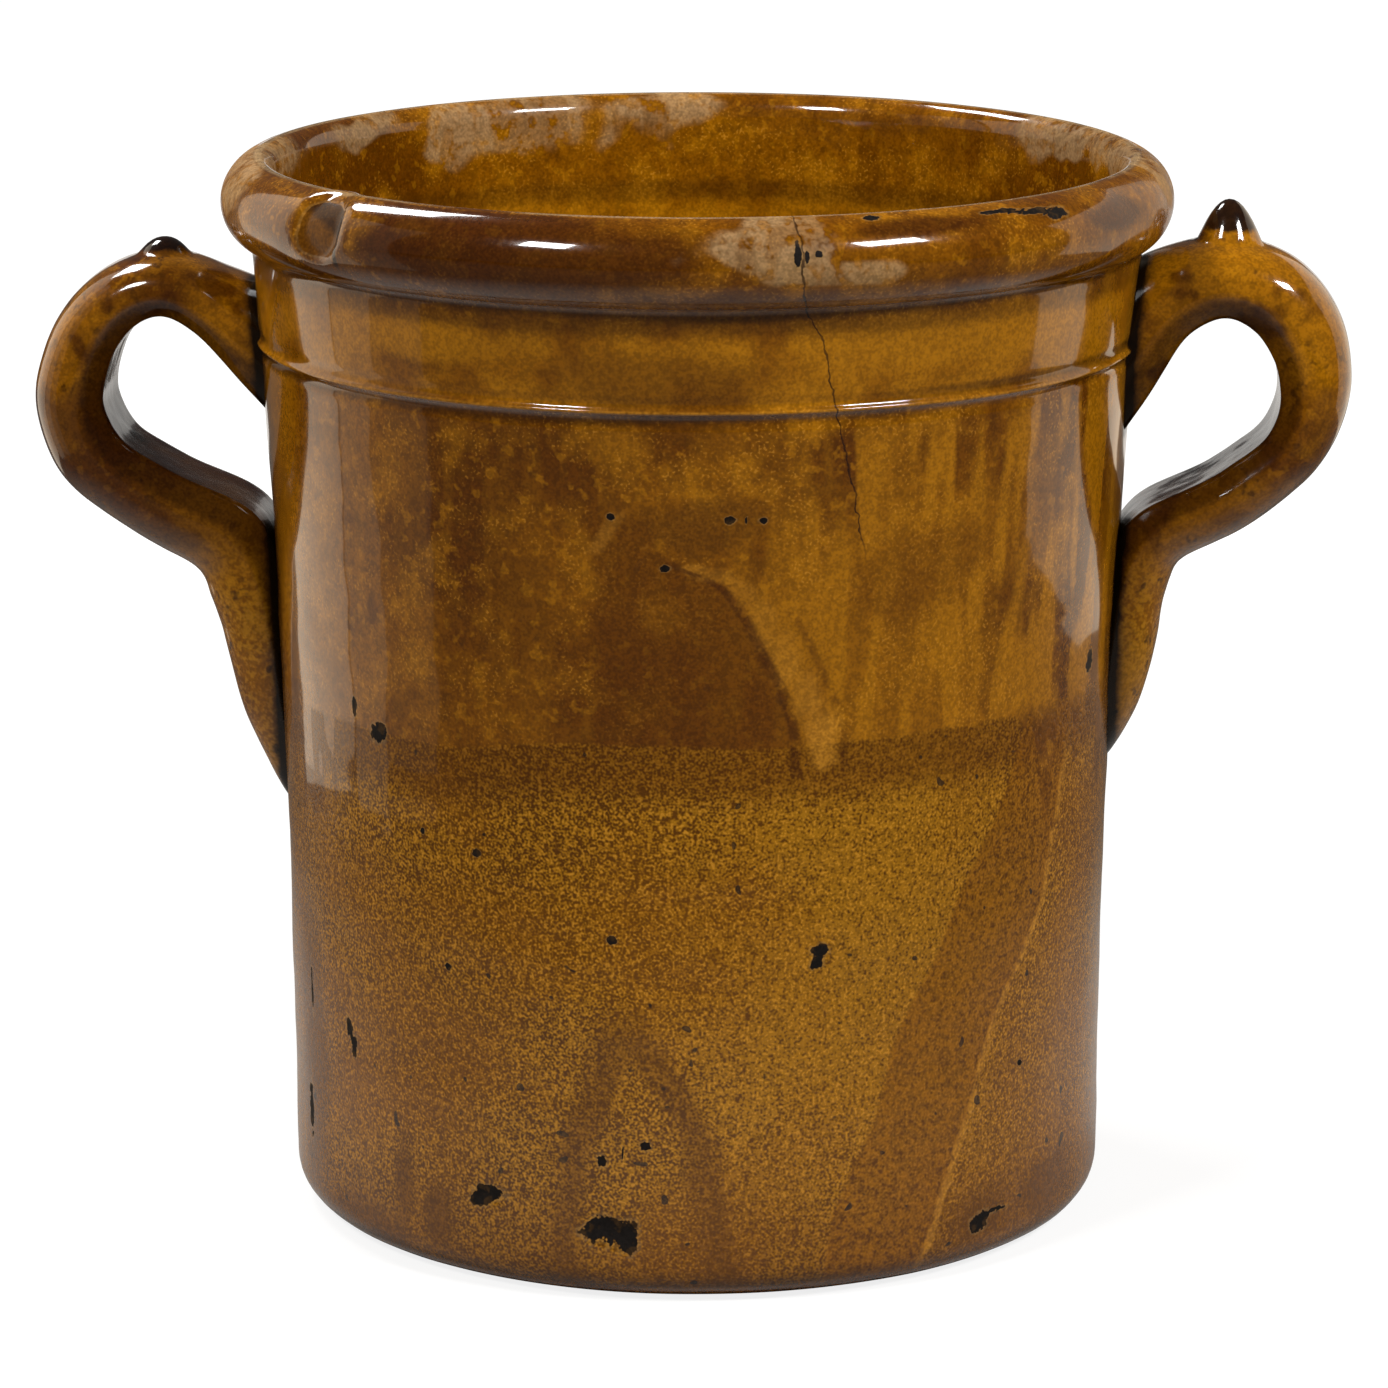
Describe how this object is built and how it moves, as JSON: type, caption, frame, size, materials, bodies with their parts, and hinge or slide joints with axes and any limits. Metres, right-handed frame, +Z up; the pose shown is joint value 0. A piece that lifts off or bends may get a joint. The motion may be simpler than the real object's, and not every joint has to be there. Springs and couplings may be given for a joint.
{
  "type": "preserve jar",
  "caption": "Wide-mouthed glazed earthenware jar with a rolled rim, a cordon line and pulled strap handles that carry small clay knobs.",
  "frame": {"origin": "middle of the flat foot, on the axis that the body was thrown about", "axes": "+Z up along the throwing axis, +X out along the right handle, -Y towards the side that the picture shows"},
  "size_m": [0.336, 0.24, 0.2715],
  "materials": {
    "glazed_earthenware": "glossy honey-brown lead glaze, mottled, with chips to dark clay"
  },
  "bodies": {
    "root": {"jar": "glazed_earthenware"}
  },
  "joints": []
}
